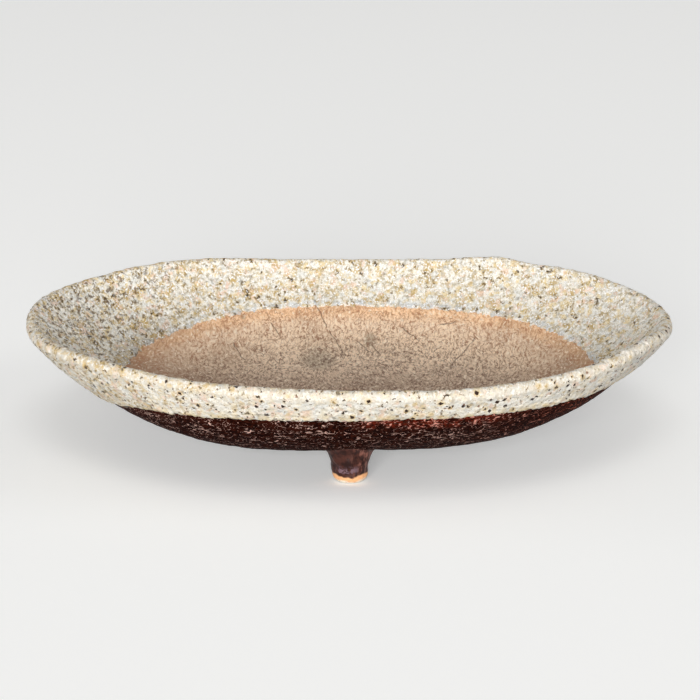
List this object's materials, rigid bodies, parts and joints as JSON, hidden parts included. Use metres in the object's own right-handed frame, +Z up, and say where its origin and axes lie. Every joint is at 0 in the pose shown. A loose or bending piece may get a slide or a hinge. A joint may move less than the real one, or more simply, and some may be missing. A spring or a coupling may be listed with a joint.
{
  "type": "oval bonsai pot",
  "caption": "Shallow oval stoneware bonsai pot with a thick speckled glaze over its rim, a bare clay floor with a drain hole, and short peg feet.",
  "frame": {"origin": "on the table under the middle of the dish, where the feet stand", "axes": "+X along the length, +Y towards the back, where two feet stand, +Z up"},
  "size_m": [0.2405, 0.1892, 0.0472],
  "materials": {
    "iron_washed_stoneware": "matt iron-washed stoneware outside, bare tan clay on the floor",
    "speckled_cream_glaze": "thick pebbled cream glaze with iron specks",
    "foot_stoneware": "smooth dark wash with a bare clay bottom edge"
  },
  "bodies": {
    "root": {"dish": "iron_washed_stoneware", "glaze_coat": "speckled_cream_glaze", "foot_front": "foot_stoneware", "foot_rear_right": "foot_stoneware", "foot_rear_left": "foot_stoneware"}
  },
  "joints": []
}
